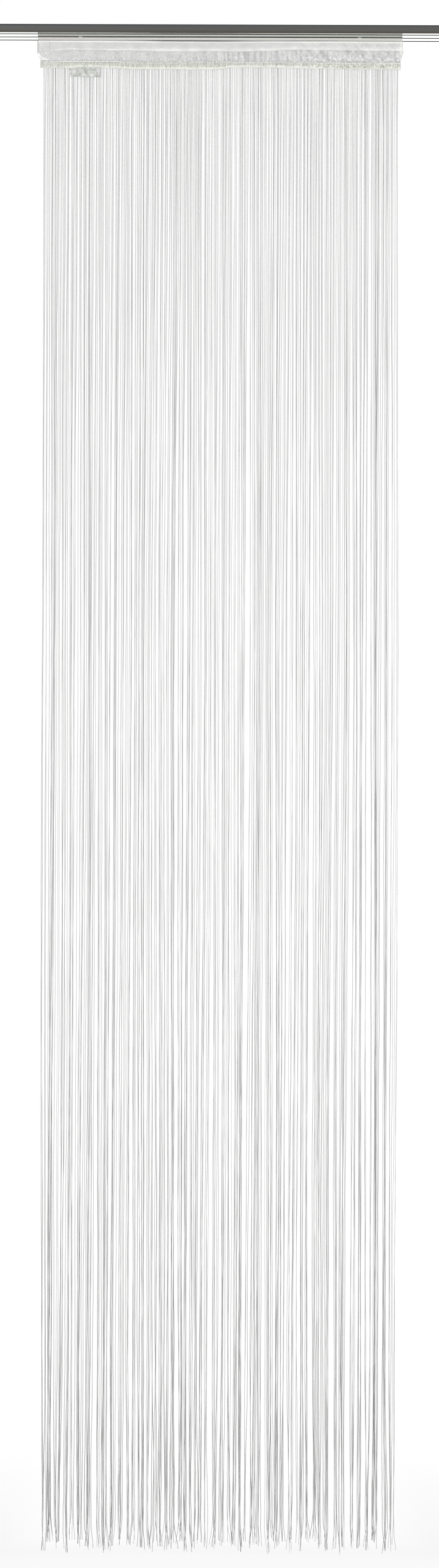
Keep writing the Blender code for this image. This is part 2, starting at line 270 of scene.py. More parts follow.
# grains of the tape's noise: size along, size down, layer
LEAN_GRAINS = (0.050, 1, 4.0)
GATHER_GRAINS = (0.0048, 0.026, 6.0)
CREASE_GRAINS = (0.0066, 0.070, 5.0)
SLANT_GRAINS = (0.070, 1, 21.0)
FOLD_GRAINS = (0.0060, 0.034, 1.0)
BROAD_FOLD_GRAINS = (0.0180, 0.050, 22.0)
CROSSING_GRAINS = (0.0036, 0.016, 33.0)
GLINT_GRAINS = (0.0042, 0.0024, 2.0)
SMUDGE_GRAINS = (0.016, 0.010, 3.0)
MOTTLE_GRAINS = (0.0034, 0.0026, 14.0)
FINE_MOTTLE_GRAINS = (0.0016, 0.0014, 15.0)
SEAM_GRAINS = (0.0020, 0.0052, 30.0)
SEAM_CREASE_GRAINS = (0.0019, 0.0170, 36.0)
# share of the crumple, wavelength, place of a crossing
CRUMPLE_WAVES = ((0.50, 0.031, 0.000), (0.30, 0.047, 0.016), (0.20, 0.083, 0.053))
# height, left edge, right edge
TAPE_EDGES = (
    (-0.0199, -0.3000, 0.3000),
    (-0.0300, -0.3000, 0.3002),
    (-0.0376, -0.3000, 0.3012),
    (-0.0430, -0.2998, 0.2990),
    (-0.0492, -0.2962, 0.2976),
    (-0.0532, -0.2945, 0.2962),
    (-0.0590, -0.2940, 0.2958),
)

# Woven band
fringe_low, fringe_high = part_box("string_fringe")
BAND_HEIGHT = 0.0125
BAND_FACE = -0.0046
BAND_THICKNESS = 0.0010
BAND_WEAVE = (0.591, 0.0125, 0.0009)
# below the band's upper edge: where its sheer strip starts to fade in, and is full
BAND_SHEER = (0.0050, 0.0025)
# place along the band, how far its lower edge hangs below its mean height
BAND_EDGE = (
    (-0.295, 0.0003), (-0.245, 0.0008), (-0.228, -0.0010), (-0.206, -0.0008), (-0.190, 0.0004),
    (-0.165, 0.0012), (-0.150, 0.0024), (-0.060, 0.0024), (-0.020, 0.0026), (0.005, 0.0016),
    (0.020, -0.0010), (0.090, -0.0010), (0.110, 0.0000), (0.180, 0.0006), (0.215, 0.0013),
    (0.295, 0.0014),
)
# place along the band, how bright its fullest threads are along the lower edge
BAND_FULLNESS = (
    (-0.295, 0.4), (-0.262, 0.4), (-0.250, 0.7), (-0.210, 0.7), (-0.160, 0.9), (0.090, 1.0),
    (0.175, 0.9), (0.190, 0.3), (0.245, 0.3), (0.262, 0.5), (0.295, 0.5),
)
BAND_STEPS_PER_RIB = 6
BAND_DOWN = 14
BAND_LEAN = 0.0020
BAND_LEAN_REACH = 0.32
RIB_RISE = 0.00020
PUCKER_RISE = 0.00035
# the band's tone: its mean, then what each thing on it adds or takes away
BAND_TONE = 0.47
RIB_TONE = 0.20
FUZZ_TONE = 0.20
SPECK_SHADES = (0.34, 0.50)
SPECK_RANGE = (0.05, 0.45)
UPPER_EDGE_ROUGHNESS = 0.0002
# painted light on the band's upper edge, against the shade that falls there
UPPER_EDGE_PAINTED_LIGHT = 0.26
UPPER_EDGE_LIGHT_FADE = (0.0020, 0.0008)
LEFT_END_SHADE = 0.35
LEFT_END_REACH = 0.0009
# the fullest threads: their tone, their height above the lower edge, their least and most reach
FULL_TONE = 0.60
FULL_LIFT = 0.0024
FULL_REACHES = (0.0010, 0.0021)
FULLNESS_RANGE = (-0.35, 0.25)
# painted highlight of a rolled edge: a bright line in the band's tone
ROLL_PAINTED_HIGHLIGHT = 0.5
BAND_GLINT_TONE = 0.5
BAND_GLINT_RARITY = 0.25
# grains of the band's noise: size along, size down, layer
UPPER_EDGE_GRAINS = (0.004, 1, 7.0)
RIB_GRAINS = (0.003, 0.004, 8.0)
PUCKER_GRAINS = (0.012, 0.012, 9.0)
FINE_RIB_GRAINS = (0.0024, 1, 17.0)
BROAD_RIB_GRAINS = (0.0090, 1, 19.0)
SPECK_GRAINS = (0.0019, 0.0050, 18.0)
BROAD_SPECK_GRAINS = (0.0080, 0.0060, 23.0)
FUZZ_GRAINS = (0.0016, 0.0016, 20.0)
BROAD_FULLNESS_GRAINS = (0.0110, 1, 24.0)
FINE_FULLNESS_GRAINS = (0.0030, 1, 25.0)
BAND_GLINT_GRAINS = (0.0040, 0.0022, 31.0)

# Cord of twisted plies along the band's lower edge
SELVEDGE_INSET = 0.0005
SELVEDGE_RADIUS = 0.00048
SELVEDGE_STEP = 0.0004
SELVEDGE_PLIES = 2
SELVEDGE_TWIST = 0.0034
SELVEDGE_FORWARD = 0.0009
SELVEDGE_LIFT = 0.0007
# how far each ply swings back and up from the cord's middle
PLY_SWING = (0.00032, 0.00038)
SELVEDGE_GRAINS = (0.009, 1, 26.0)

# Zigzag stitches
STITCH_INSET = 0.001
STITCH_RADIUS = 0.00050
# share of the radius, and distance in front of the band, of the thinnest; what full ones gain
STITCH_GIRTH = (0.45, 0.60)
STITCH_FORWARD = (0.0007, 0.0005)
STITCH_STEP = 0.0006
STITCH_SWING = 0.00018
STITCH_GRAINS = (0.006, 1, 27.0)
# place along the band, how far the seam lies below the band's upper edge
STITCH_DROP = (
    (-0.295, 0.0030), (-0.262, 0.0024), (-0.175, 0.0022), (-0.140, 0.0046), (-0.060, 0.0045),
    (-0.020, 0.0031), (0.060, 0.0032), (0.180, 0.0038), (0.240, 0.0040), (0.258, 0.0047),
    (0.295, 0.0048),
)
# place along the band, how full the stitches stand
STITCH_FULLNESS = (
    (-0.295, 0.1), (-0.262, 0.2), (-0.254, 1.0), (-0.170, 0.9), (-0.150, 0.4), (-0.100, 0.1),
    (0.015, 0.2), (0.030, 0.5), (0.060, 0.4), (0.090, 0.1), (0.150, 0.4), (0.190, 0.2),
    (0.295, 0.1),
)

# Bright line at the band's right end, a painted highlight for a rolled edge that the band's shape
# does not have
ROLL_HEIGHT = -0.0568
ROLL_START = 0.2580
ROLL_FADE = 0.004
ROLL_REACH = 0.0009

# Label, sewn into the band's lower edge and hanging in front of the strings
label_low, label_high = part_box("care_label")
LABEL_THICKNESS = 0.0003
LABEL_FACE = -0.0064
LABEL_TUCK = 0.0006
LABEL_COLUMNS = 90
LABEL_DOWN = 36
LABEL_WEAVE = (0.0513, 0.0158, 0.0005)
LABEL_WAVES = 2.5
LABEL_WAVE_DEPTH = 0.0005
LABEL_ROUGHNESS = 0.0002
# how far the label leans back onto the band at its top, and the share of its height it takes
LABEL_LEAN = 0.0008
LABEL_LEAN_REACH = 0.15
LABEL_SLANT = 0.0012
LABEL_GRAINS = (0.004, 0.2, 15.0)

# Yarns: the part's strands, root for root, drawn into closer wisps and locks
STRAND_COUNT = 288
ROOT_OVERLAP = 0.0015
ROOT_CENTRE = 0.0015
ROOT_HALF_WIDTH = 0.2908
ROOT_JITTER = 0.0005
TIP_SPREAD = 1.005
ROW_COUNT = 3
ROW_SPACING = 0.0016
SAME_ROW_GAP = 0.0016
APART_PASSES = 60
TIP_HEIGHT = -2.489
LOCK_TIP_SPREAD = 0.011
TIP_JITTER = 0.006
WISP_SIZES = (1, 2, 2, 3, 3)
WISP_PITCH = 0.0002
WISP_WANDER = 0.0023
LOCK_SIZES = (1, 2, 3, 4, 5, 6)
LOCK_PITCH = 0.0009
LOCK_WANDER = 0.0018
SEED = 7
# share of the drop, pull to the wisp, pull to the lock, straying to the side, and share of
# the row's depth
LEVELS = (
    (0.000, 0.12, 0.00, 0.0003, 0.10),
    (0.050, 0.34, 0.00, 0.0005, 1.00),
    (0.320, 0.50, 0.50, 0.0004, 1.00),
    (0.870, 0.55, 0.72, 0.0007, 1.00),
    (0.975, 0.00, 1.00, 0.0012, 1.00),
    (1.000, 0.00, 0.85, 0.0030, 1.15),
)
# share of the drop, share of the yarn's radius
YARN_GIRTHS = (
    (0.000, 1.34), (0.030, 1.20), (0.130, 0.95), (0.250, 0.83), (0.420, 0.72), (0.640, 0.75),
    (0.870, 0.86), (0.975, 1.04), (1.000, 0.78),
)
# height, the yarns' painted light and shade there: darker towards the tips, where less light
# reaches them, and darker just under the band, in its shadow
YARN_PAINTED_SHADES = (
    (-2.500, 0.00), (-2.460, 0.07), (-2.400, 0.07), (-1.900, 0.14), (-0.900, 0.31), (-0.550, 0.38),
    (-0.150, 0.66), (-0.090, 0.64), (-0.064, 0.44),
)
# the painted shade that leaves a yarn at its own tone
YARN_MIDDLE_SHADE = 0.35
# share of a yarn's own tone, and of the clouds along it
YARN_TONE_SHARE = 0.75
YARN_CLOUD_SHARE = 0.25
# mean and spread of the yarns' own tones
YARN_TONES = (0.53, 0.21)
# height, share of the fine light and dark flecks
YARN_FRAYED = ((-2.50, 1.00), (-2.10, 0.27), (-0.60, 0.27), (-0.20, 0.85))
FLECK_STRENGTH = 1.3
YARN_RADIUS = 0.0005
YARN_THICKNESSES = (0.82, 1.18)
YARN_LUMPS = 0.10
YARN_LUMP_GRAINS = (0.01, 0.02)
YARN_STEPS = 150
YARN_CROWDING = 0.62
# sideways reach, wavelength
CRINKLES = ((0.00042, 0.480), (0.00016, 0.200), (0.00010, 0.055))
# each yarn's own shares of that reach and of that wavelength
CRINKLE_REACHES = (0.5, 1.3)
CRINKLE_LENGTHS = (0.8, 1.25)
CRINKLE_DEPTH = 0.5
# share of the crinkles at the root, and what they gain down the whole drop and near the tip
CRINKLE_AT_ROOT = 0.55
CRINKLE_GAIN = 0.75
CRINKLE_TIP_GAIN = 1.1
CRINKLE_TIP_START = 0.93
CRINKLE_ROOT_END = 0.03
DRAWN_TOGETHER = 0.0040
# share of the drop over which the yarns draw together
DRAWN_OVER = (0.02, 0.50)
DRAWN_GRAINS = ((0.013, 1.6, 34.0), (0.030, 1.6, 35.0))
TIP_SPLAY = 1.8
TIP_CURL = 0.0030
TIP_CURL_START = 0.982
TIP_CURL_POWER = 1.5


# Small tools

def between(low, high, share):
    return low + (high - low) * share


def ease(start, end, value):
    """0 before start and 1 after end, with a smooth rise between them."""
    share = min(max((value - start) / (end - start), 0.0), 1.0)
    return share * share * (3 - 2 * share)


def along(places, x):
    """A value that runs smoothly from each place in a list to the next."""
    for (left, low), (right, high) in zip(places, places[1:]):
        if x < right:
            return between(low, high, ease(left, right, x))
    return places[-1][1]


def bump(x, centre, reach):
    """1 at the centre and near 0 beyond twice the reach."""
    return math.exp(-((x - centre) / reach) ** 2)


def wave(x, length, crossing):
    return math.sin(2 * math.pi * (x - crossing) / length)


def rough(x, z, x_size, z_size, layer):
    """Smooth noise from -1 to 1, with its own grain size along and down."""
    return noise.noise(Vector((x / x_size, layer, z / z_size)))


def active(name):
    """The object that an operator just made, named."""
    piece = bpy.context.object
    piece.name = name
    piece.data.name = name
    return piece


def select_only(piece):
    bpy.ops.object.select_all(action="DESELECT")
    piece.select_set(True)
    bpy.context.view_layer.objects.active = piece


def cloth(name, columns, rows, surface, thickness):
    """A grid moved onto surface(across 0..1, down 0..1), then given its thickness."""
    bpy.ops.mesh.primitive_grid_add(x_subdivisions=columns, y_subdivisions=rows, size=1.0)
    piece = active(name)
    for vertex in piece.data.vertices:
        vertex.co = surface(vertex.co.x + 0.5, 0.5 - vertex.co.y)
    solidify = piece.modifiers.new("thickness", "SOLIDIFY")
    solidify.thickness = thickness
    solidify.offset = 0.0
    select_only(piece)
    bpy.ops.object.modifier_apply(modifier=solidify.name)
    bpy.ops.object.mode_set(mode="EDIT")
    bpy.ops.mesh.select_all(action="SELECT")
    bpy.ops.mesh.normals_make_consistent(inside=False)
    bpy.ops.object.mode_set(mode="OBJECT")
    bpy.ops.object.shade_smooth()
    return piece


def thread(name, paths, radius):
    """Round threads along one or more lists of (x, y, z, share of the radius)."""
    curve = bpy.data.curves.new(name, "CURVE")
    curve.dimensions = "3D"
    curve.bevel_depth = radius
    curve.bevel_resolution = 1
    curve.use_fill_caps = True
    for path in paths:
        spline = curve.splines.new("POLY")
        spline.points.add(len(path) - 1)
        for point, (x, y, z, girth) in zip(spline.points, path):
            point.co = (x, y, z, 1.0)
            point.radius = girth
    piece = bpy.data.objects.new(name, curve)
    bpy.context.scene.collection.objects.link(piece)
    select_only(piece)
    bpy.ops.object.convert(target="MESH")
    bpy.ops.object.shade_smooth()
    return bpy.context.object


def set_tone(piece, tones):
    """Each vertex's place on its finish's scale from dark, 0, to light, 1."""
    tone = piece.data.attributes.new("tone", "FLOAT", "POINT")
    tone.data.foreach_set("value", tones)


# Finishes

def finish(name, **sockets):
    """A material whose shader holds what is the same all over the piece."""
    made = bpy.data.materials.new(name)
    made.use_nodes = True
    shader = made.node_tree.nodes["Principled BSDF"]
    for socket, value in sockets.items():
        shader.inputs[socket.replace("_", " ")].default_value = value
    return made


def plug(made, socket, value):
    """Links another node's output to a socket, or gives it a number, a place or a colour."""
    if isinstance(value, bpy.types.NodeSocket):
        made.node_tree.links.new(value, socket)
    else:
        socket.default_value = value


def node(made, kind, inputs=None, **settings):
    """A node with its settings and what its inputs are fed."""
    new = made.node_tree.nodes.new(kind)
    for setting, value in settings.items():
        setattr(new, setting, value)
    for socket, value in (inputs or {}).items():
        plug(made, new.inputs[socket], value)
    return new


def feed(made, socket, value):
    plug(made, made.node_tree.nodes["Principled BSDF"].inputs[socket], value)


def stretched(made, source, scale):
    """The piece's own coordinates of one kind, scaled by (x, y, z)."""
    place = node(made, "ShaderNodeTexCoord").outputs[source]
    mapping = node(made, "ShaderNodeMapping", {"Vector": place, "Scale": scale})
    return mapping.outputs["Vector"]


def grain(made, per_metre, detail=3.0):
    """Noise with so many grains to the metre along x, y and z."""
    place = stretched(made, "Object", per_metre)
    inputs = {"Vector": place, "Scale": 1.0, "Detail": detail, "Roughness": 0.6}
    return node(made, "ShaderNodeTexNoise", inputs).outputs["Fac"]


def ramp(made, value, low, high, low_at=0.3, high_at=0.7, clamp=True):
    """A colour that goes from low to high as value goes from low_at to high_at."""
    inputs = {"Value": value, "From Min": low_at, "From Max": high_at}
    share = node(made, "ShaderNodeMapRange", inputs, clamp=clamp).outputs["Result"]
    return colour_mix(made, share, low, high, clamp_factor=clamp)


def relief(made, height, distance, strength, under=None):
    """The normals of a height as deep as distance, over other normals if there are any."""
    inputs = {"Height": height, "Distance": distance, "Strength": strength}
    if under:
        inputs["Normal"] = under
    return node(made, "ShaderNodeBump", inputs).outputs["Normal"]


def range_of(made, value, low, high, low_at=0.0, high_at=1.0):
    """A number that goes from low to high as value goes from low_at to high_at."""
    inputs = {"Value": value, "From Min": low_at, "From Max": high_at}
    inputs |= {"To Min": low, "To Max": high}
    return node(made, "ShaderNodeMapRange", inputs).outputs["Result"]


def arithmetic(made, operation, a, b=0.0):
    new = node(made, "ShaderNodeMath", operation=operation)
    for socket, value in zip(new.inputs, (a, b)):
        plug(made, socket, value)
    return new.outputs["Value"]


def added(made, *values):
    total = values[0]
    for value in values[1:]:
        total = arithmetic(made, "ADD", total, value)
    return total


def times(made, a, b):
    return arithmetic(made, "MULTIPLY", a, b)


def within(made, value, low, high):
    """1 where a value lies between two others and 0 elsewhere."""
    above = arithmetic(made, "GREATER_THAN", value, low)
    return times(made, above, arithmetic(made, "LESS_THAN", value, high))


def vertex_tone(made):
    """The tone that set_tone() gave each vertex."""
    return node(made, "ShaderNodeAttribute", attribute_name="tone").outputs["Fac"]


def colour_mix(made, share, a, b, **settings):
    mix = node(made, "ShaderNodeMix", {"Factor": share}, data_type="RGBA", **settings)
    for socket, colour in (("A", a), ("B", b)):
        plug(made, mix.inputs[socket], (*colour, 1.0) if isinstance(colour, tuple) else colour)
    return mix.outputs["Result"]


def axis(made, letter):
    """The place along one axis of the part."""
    place = node(made, "ShaderNodeTexCoord").outputs["Object"]
    return node(made, "ShaderNodeSeparateXYZ", {"Vector": place}).outputs[letter]


def profile(made, value, places):
    """What a list of places and values gives at a value."""
    start, end = places[0][0], places[-1][0]
    stops = node(made, "ShaderNodeValToRGB", {"Fac": range_of(made, value, 0.0, 1.0, start, end)})
    elements = stops.color_ramp.elements
    while len(elements) < len(places):
        elements.new(1.0)
    for element, (place, level) in zip(elements, places):
        element.position = (place - start) / (end - start)
        element.color = (level, level, level, 1.0)
    return stops.outputs["Color"]


def anodised_aluminium():
    """Faces painted dark, a painted shade for the dark room they reflect, darker at top and bottom;
    a smoother underside painted bright with a green cast, a painted reflection of the white floor.
    """
    made = finish("anodised_aluminium", Metallic=1.0)
    streaks = grain(made, (2.5, 900.0, 900.0), 4.0)
    normal = node(made, "ShaderNodeNewGeometry").outputs["Normal"]
    facing = node(made, "ShaderNodeSeparateXYZ", {"Vector": normal}).outputs["Z"]
    place, depth, height = (axis(made, letter) for letter in "XYZ")
    faces_down = arithmetic(made, "LESS_THAN", facing, FACING_DOWN)
    lowest = arithmetic(made, "LESS_THAN", height, rail_low.z + POLISH_AND_REFLECTION_HEIGHT)
    polish_and_painted_reflection = times(made, faces_down, lowest)

    # the face's dark colour is painted shade, standing in for the dark room that it reflects
    drawn = ramp(made, streaks, *FACE_PAINTED_SHADE_METAL)
    lighter_to_left = range_of(made, place, 0.6, 0.0, rail_low.x, rail_low.x + RAIL_LIGHTER_LENGTH)
    drawn = colour_mix(made, lighter_to_left, drawn, LEFT_END_METAL)
    fade_start, fade_end = (rail_high.z - reach for reach in RAIL_TOP_FADE)
    top = range_of(made, height, 0.0, 0.85, fade_start, fade_end)
    drawn = colour_mix(made, top, drawn, RAIL_TOP_EDGE)
    bottom = range_of(made, height, 0.8, 0.0, rail_low.z, rail_low.z + RAIL_BOTTOM_FADE)
    drawn = colour_mix(made, bottom, drawn, RAIL_BOTTOM_EDGE)
    hollow = within(made, depth, *(rail_low.y + reach for reach in TRACK_HOLLOW))
    hollow = times(made, hollow, arithmetic(made, "LESS_THAN", height, rail_high.z - RAIL_WALL))
    # painted light: the front track's shaded hollow gets a lighter grey
    painted_light_in_track = times(made, hollow, profile(made, place, TRACK_PAINTED_LIGHT))
    drawn = colour_mix(made, painted_light_in_track, drawn, TRACK_PAINTED_LIGHT_GREY)
    # painted reflection: the underside gets a bright colour where it faces down, for the white
    # floor that it reflects
    bright = ramp(made, streaks, *UNDERSIDE_PAINTED_REFLECTION_METAL)
    feed(made, "Base Color", colour_mix(made, polish_and_painted_reflection, drawn, bright))
    feed(made, "Roughness", range_of(made, polish_and_painted_reflection, 0.36, 0.10))
    feed(made, "Normal", relief(made, streaks, 0.00002, 0.35))
    return made


def satin_aluminium():
    """Pale carrier; a dark strip above the tape's edge, shown as a hook strip, is painted shade for
    the gap there, and its top is painted darker as shade under the rail.
    """
    made = finish("satin_aluminium", Metallic=0.6)
    streaks = grain(made, (3.0, 700.0, 700.0), 4.0)
    place, height = axis(made, "X"), axis(made, "Z")
    strip_top = carrier_high.z - RIB_HEIGHT + STRIP_ON_RIB
    strip = within(made, height, strip_top - STRIP_HEIGHT, strip_top)
    rosy = ramp(made, streaks, *ROSY_METAL)
    greenish = ramp(made, streaks, *GREENISH_METAL)
    pale = colour_mix(made, range_of(made, place, 0.0, 1.0, *CARRIER_CASTS), rosy, greenish)
    # painted shade: the carrier's top, right under the rail, gets a darker grey
    upper = arithmetic(made, "GREATER_THAN", height, carrier_high.z - CARRIER_SHADED_TOP_HEIGHT)
    pale = colour_mix(made, upper, pale, CARRIER_TOP_PAINTED_SHADE)
    # painted shade: a dark strip for the shaded gap above the tape's edge
    strip_painted_shade = colour_mix(made, profile(made, place, HOOK_STRIP_SHADE_LIFT), *HOOK_STRIP_PAINTED_SHADE)
    feed(made, "Base Color", colour_mix(made, strip, pale, strip_painted_shade))
    feed(made, "Roughness", range_of(made, strip, 0.38, 0.85))
    feed(made, "Normal", relief(made, streaks, 0.00002, 0.3))
    return made


def glider_plastic():
    made = finish("glider_plastic", Roughness=0.42)
    speckle = grain(made, (900.0, 900.0, 900.0))
    feed(made, "Base Color", ramp(made, speckle, *GLIDER_WHITE))
    feed(made, "Normal", relief(made, speckle, 0.00003, 0.3))
    return made


def weave(made, width, length, thread_pitch):
    """A plain weave's height, from the cloth's own flat coordinates."""
    flat = stretched(made, "UV", (width / thread_pitch, length / thread_pitch, 1.0))
    split = node(made, "ShaderNodeSeparateXYZ", {"Vector": flat})
    warp, weft = (arithmetic(made, "SINE", times(made, split.outputs[letter], math.pi))
                  for letter in "XY")
    return arithmetic(made, "ABSOLUTE", times(made, warp, weft))


def sheer_tape():
    """Sheer plain weave; its folds painted darker in their valleys and creases and lighter on their
    crests, and a painted shadow along its left edge.
    """
    made = finish("sheer_white_tape", Roughness=0.5, Sheen_Weight=0.2, Sheen_Roughness=0.4)
    threads = weave(made, *TAPE_WEAVE)
    cloudy = grain(made, (70.0, 70.0, 160.0), 4.0)
    fine = grain(made, (900.0, 400.0, 500.0))
    clouds = range_of(made, cloudy, -0.10, 0.10, 0.25, 0.75)
    flecks = range_of(made, fine, -0.08, 0.08, 0.25, 0.75)
    mixed = added(made, vertex_tone(made), clouds, flecks)
    white = ramp(made, mixed, *TAPE_WHITE, 0.0, 1.0)
    fade_start, fade_end = (tape_low.x + reach for reach in EDGE_SHADOW_FADE)
    # painted shadow: dark grey along the tape's left edge, above the turned corner
    side = range_of(made, axis(made, "X"), 0.9, 0.0, fade_start, fade_end)
    turn_top = TURNED_CORNER[0][1] - EDGE_SHADOW_ABOVE_TURN
    side = times(made, side, arithmetic(made, "GREATER_THAN", axis(made, "Z"), turn_top))
    feed(made, "Base Color", colour_mix(made, side, white, TAPE_EDGE_PAINTED_SHADOW))
    woven = relief(made, threads, 0.00005, 0.5)
    feed(made, "Normal", relief(made, fine, 0.00025, 0.5, woven))
    feed(made, "Alpha", range_of(made, threads, 0.84, 0.97))
    return made


def woven_band():
    """Off-white band, a little yellow where it is fullest."""
    made = finish("woven_band", Roughness=0.75, Sheen_Weight=0.15)
    threads = weave(made, *BAND_WEAVE)
    cloudy = grain(made, (330.0, 300.0, 260.0), 4.0)
    clouds = range_of(made, cloudy, -0.12, 0.12, 0.25, 0.75)
    mixed = added(made, vertex_tone(made), clouds)
    full = ramp(made, mixed, *BAND_FULL_WHITE, 0.0, 1.0)
    sheer = ramp(made, mixed, *BAND_SHEER_WHITE, 0.0, 1.0)
    uneven = added(made, axis(made, "Z"), range_of(made, cloudy, -0.003, 0.003, 0.2, 0.8))
    upper = range_of(made, uneven, 0.0, 1.0, *(fringe_high.z - drop for drop in BAND_SHEER))
    feed(made, "Base Color", colour_mix(made, upper, full, sheer))
    feed(made, "Normal", relief(made, threads, 0.00025, 0.8))
    return made


def white_yarn():
    """Each yarn has its own tone, with clouds and flecks, and painted light and shade for its
    height.
    """
    made = finish("white_yarn", Roughness=0.78, Sheen_Weight=0.15)
    height = axis(made, "Z")
    own = times(made, vertex_tone(made), YARN_TONE_SHARE)
    clouds = times(made, grain(made, (300.0, 300.0, 60.0)), YARN_CLOUD_SHARE)
    flecks = arithmetic(made, "SUBTRACT", grain(made, (900.0, 900.0, 330.0)), 0.5)
    frayed = times(made, profile(made, height, YARN_FRAYED), FLECK_STRENGTH)
    # painted light and shade by height
    shade = profile(made, height, YARN_PAINTED_SHADES)
    lit = added(made, own, clouds, times(made, flecks, frayed), shade, -YARN_MIDDLE_SHADE)
    feed(made, "Base Color", ramp(made, lit, *YARN_WHITE, 0.0, 1.0, clamp=False))
    return made


def thread_finish(name, low, high, per_metre=(800.0, 800.0, 800.0)):
    made = finish(name, Roughness=0.6)
    speckle = grain(made, per_metre)
    feed(made, "Base Color", ramp(made, speckle, low, high))
    feed(made, "Normal", relief(made, speckle, 0.0001, 0.5))
    return made


def label_ribbon():
    """Very thin blank ribbon, mottled where it lies in folds and thinnest at a lower corner."""
    made = finish("label_ribbon", Roughness=0.5)
    patches = times(made, grain(made, (120.0, 120.0, 150.0), 2.0), 0.55)
    mottled = added(made, patches, times(made, grain(made, (330.0, 330.0, 420.0), 5.0), 0.45))
    feed(made, "Base Color", ramp(made, mottled, *LABEL_WHITE, 0.40, 0.60))
    feed(made, "Normal", relief(made, weave(made, *LABEL_WEAVE), 0.0001, 0.5))
    across = range_of(made, axis(made, "X"), 0.0, 0.6, label_low.x, label_high.x)
    up = range_of(made, axis(made, "Z"), 0.0, 1.0, label_low.z, label_high.z)
    uneven = range_of(made, mottled, -0.10, 0.10, 0.36, 0.64)
    from_corner = range_of(made, added(made, across, up, uneven), 0.25, 1.0, 0.05, 0.30)
    feed(made, "Alpha", times(made, range_of(made, mottled, 0.95, 0.70, 0.36, 0.64), from_corner))
    return made


# Heading tape

def crumple(x):
    """Depth of the tape's folds, from -1 to 1, at a place along the tape."""
    return sum(share * wave(x, length, crossing) for share, length, crossing in CRUMPLE_WAVES)


def tape_edge(height, column):
    """The place of the tape's left edge, column 1, or its right edge, column 2, at a height."""
    for upper, lower in zip(TAPE_EDGES, TAPE_EDGES[1:]):
        if height >= lower[0]:
            share = max((upper[0] - height) / (upper[0] - lower[0]), 0.0)
            return between(upper[column], lower[column], share)
    return TAPE_EDGES[-1][column]


def speck(x, z, grains, rarity):
    """1 on small separate spots and 0 between them."""
    return ease(rarity, rarity + 0.15, rough(x, z, *grains))


def distance_to_line(x, z, points):
    """How far (x, z) lies from the nearest stretch of a line of points."""
    nearest = 1.0
    for (x_a, z_a), (x_b, z_b) in zip(points, points[1:]):
        run, rise = x_b - x_a, z_b - z_a
        share = ((x - x_a) * run + (z - z_a) * rise) / (run * run + rise * rise)
        share = min(max(share, 0.0), 1.0)
        nearest = min(nearest, math.hypot(x - x_a - share * run, z - z_a - share * rise))
    return nearest


def seam_specks(x, z):
    """Specks where the cloth is caught at the top of the band, and short creases above them,
    painted as dark lines of shade.
    """
    reach = SEAM_REACH_UP if z > SEAM_HEIGHT else SEAM_REACH_DOWN
    specks = SEAM_SPECKLE * rough(x, z, *SEAM_GRAINS) * bump(z, SEAM_HEIGHT, reach)
    creases = SEAM_CREASE_SHADE * ease(*SEAM_CREASE_START, x) * bump(z, SEAM_HEIGHT, SEAM_CREASE_REACH)
    return specks - creases * max(rough(x, z, *SEAM_CREASE_GRAINS), 0.0)


